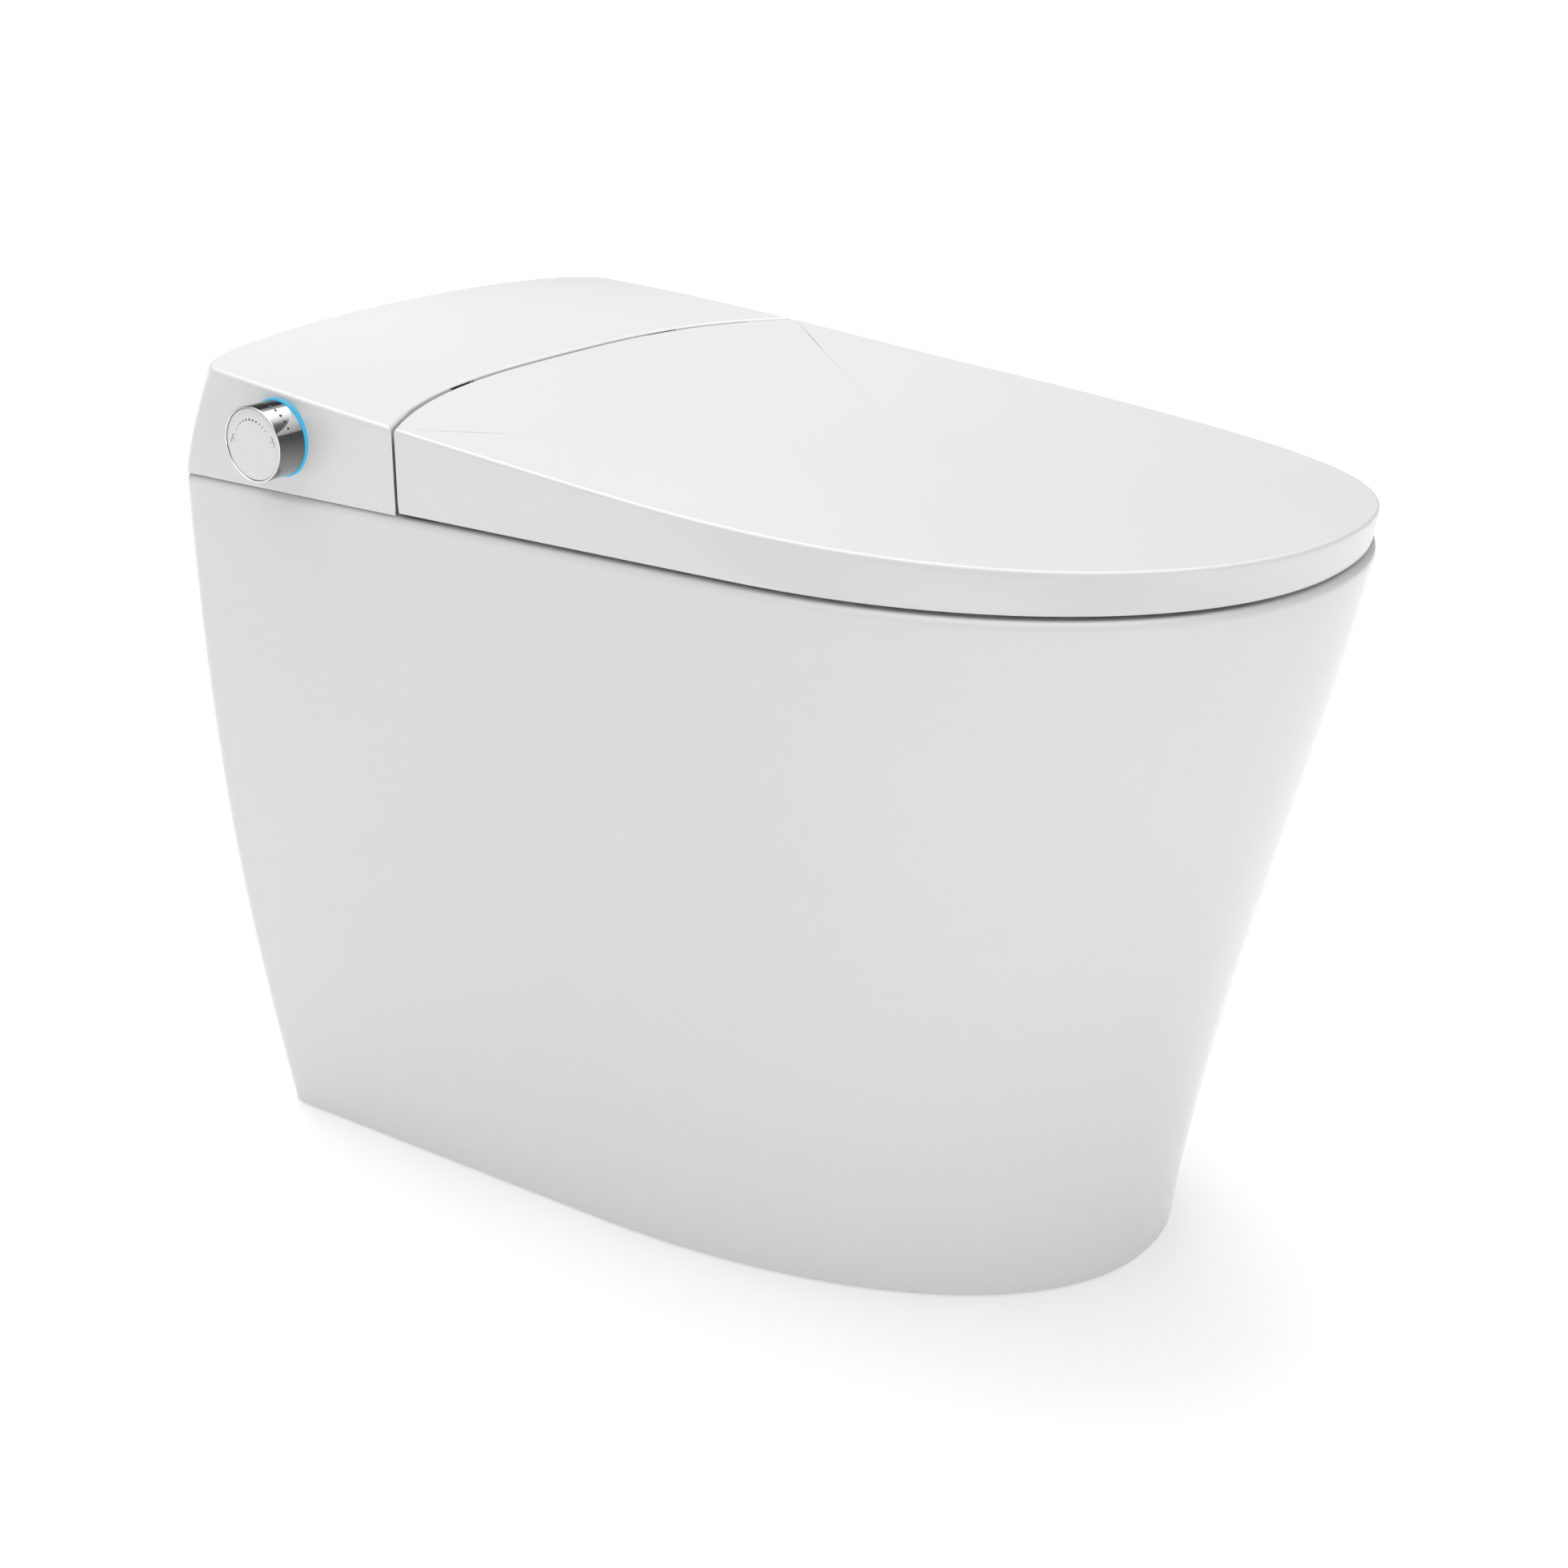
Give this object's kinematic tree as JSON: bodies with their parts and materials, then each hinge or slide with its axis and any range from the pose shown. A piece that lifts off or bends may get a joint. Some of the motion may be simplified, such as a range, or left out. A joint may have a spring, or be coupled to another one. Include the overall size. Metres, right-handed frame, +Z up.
{
  "type": "electric bidet toilet",
  "caption": "Skirted ceramic toilet with an electric bidet housing, flush hinged lid, heated ring seat, retracting spray wands, warm-air dryer and a side knob with a push cap.",
  "frame": {"origin": "axis of the floor outlet at floor level", "axes": "+Z up, +Y from the bowl towards the wall behind, -X towards the side with the knob"},
  "size_m": [0.4145, 0.6715, 0.508],
  "materials": {
    "ceramic": "glazed, glossy",
    "gasket_rubber": "matt",
    "seal_wax": "matt",
    "cover_plastic": "glossy",
    "liner_plastic": "satin",
    "seat_plastic": "glossy",
    "pad_rubber": "matt",
    "chassis_plastic": "fine texture",
    "part_plastic": "fine texture",
    "dark_plastic": "fine texture",
    "gear_plastic": "satin",
    "heater_film": "foil on film",
    "steel": "turned",
    "chrome": "polished",
    "zinc_arm": "painted",
    "brass": "turned",
    "carbon": "matt",
    "board_green": "coated",
    "light_guide": "translucent"
  },
  "bodies": {
    "root": {"china_body": "ceramic", "trapway": "ceramic", "floor_seal": "seal_wax", "deck_gasket": "gasket_rubber", "chassis_tray": "chassis_plastic", "chassis_bolts": "steel", "housing_cover": "cover_plastic", "housing_screws": "steel", "lid_damper": "dark_plastic", "seat_damper": "dark_plastic", "front_shroud": "liner_plastic", "wand_cradle": "part_plastic", "rear_motor": "dark_plastic", "front_motor": "dark_plastic", "blower_case": "dark_plastic", "dryer_duct": "part_plastic", "flap_pin": "steel", "deodoriser_case": "part_plastic", "carbon_cartridge": "carbon", "water_heater": "part_plastic", "flush_tank": "part_plastic", "flush_pump": "dark_plastic", "inlet_valve": "part_plastic", "valve_coil": "dark_plastic", "water_inlet": "brass", "control_board": "board_green", "board_case": "dark_plastic", "mains_gland": "dark_plastic", "knob_encoder": "dark_plastic", "knob_light": "light_guide"},
    "seat": {"seat_top": "seat_plastic", "seat_base": "seat_plastic", "seat_heater": "heater_film", "seat_bumpers": "pad_rubber", "seat_arms": "zinc_arm", "seat_arm_screws": "steel", "seat_shaft": "steel"},
    "lid": {"lid_shell": "cover_plastic", "lid_liner": "liner_plastic", "lid_bumpers": "pad_rubber", "lid_arms": "zinc_arm", "lid_arm_screws": "steel", "lid_shaft": "steel"},
    "rear_wash": {"rear_wand": "steel", "rear_tip": "liner_plastic"},
    "front_wash": {"front_wand": "steel", "front_tip": "liner_plastic"},
    "rear_drive": {"rear_pinion": "gear_plastic"},
    "front_drive": {"front_pinion": "gear_plastic"},
    "blower": {"blower_wheel": "part_plastic"},
    "flap": {"dryer_flap": "liner_plastic"},
    "knob": {"knob_sleeve": "chrome", "knob_shaft": "steel", "knob_spring": "steel"},
    "knob_button": {"knob_cap": "cover_plastic"}
  },
  "joints": [
    {"name": "seat_hinge", "type": "hinge", "parent": "root", "child": "seat", "pos_m": [0, 0.158, 0.48], "axis": [-1, 0, 0], "range_deg": [0, 95]},
    {"name": "lid_hinge", "type": "hinge", "parent": "seat", "child": "lid", "pos_m": [0, 0.158, 0.48], "axis": [1, 0, 0], "range_deg": [-95, 0]},
    {"name": "rear_wand_slide", "type": "slide", "parent": "root", "child": "rear_wash", "axis": [0, -0.9659, -0.2588], "range_m": [0, 0.075]},
    {"name": "front_wand_slide", "type": "slide", "parent": "root", "child": "front_wash", "axis": [0, -0.9659, -0.2588], "range_m": [0, 0.075]},
    {"name": "rear_pinion_spin", "type": "hinge", "parent": "root", "child": "rear_drive", "pos_m": [-0.014, 0.17763, 0.46994], "axis": [1, 0, 0], "range_deg": [-620, 5]},
    {"name": "front_pinion_spin", "type": "hinge", "parent": "root", "child": "front_drive", "pos_m": [0.014, 0.17763, 0.46994], "axis": [1, 0, 0], "range_deg": [-620, 5]},
    {"name": "blower_spin", "type": "hinge", "parent": "root", "child": "blower", "pos_m": [0.084, 0.227, 0.455], "axis": [0, 0, 1], "continuous": true},
    {"name": "flap_swing", "type": "hinge", "parent": "root", "child": "flap", "pos_m": [0.06, 0.0525, 0.43], "axis": [-1, 0, 0], "range_deg": [0, 60]},
    {"name": "knob_turn", "type": "hinge", "parent": "root", "child": "knob", "pos_m": [-0.2, 0.193, 0.468], "axis": [-1, 0, 0], "range_deg": [-50, 50], "stiffness_Nm_per_rad": 0.02},
    {"name": "knob_push", "type": "slide", "parent": "knob", "child": "knob_button", "axis": [1, 0, 0], "range_m": [0, 0.0015], "stiffness_N_per_m": 400}
  ],
  "couplings": [
    {"joint": "rear_pinion_spin", "follows": "rear_wand_slide", "rad_per_m": -142.86},
    {"joint": "front_pinion_spin", "follows": "front_wand_slide", "rad_per_m": -142.86}
  ]
}
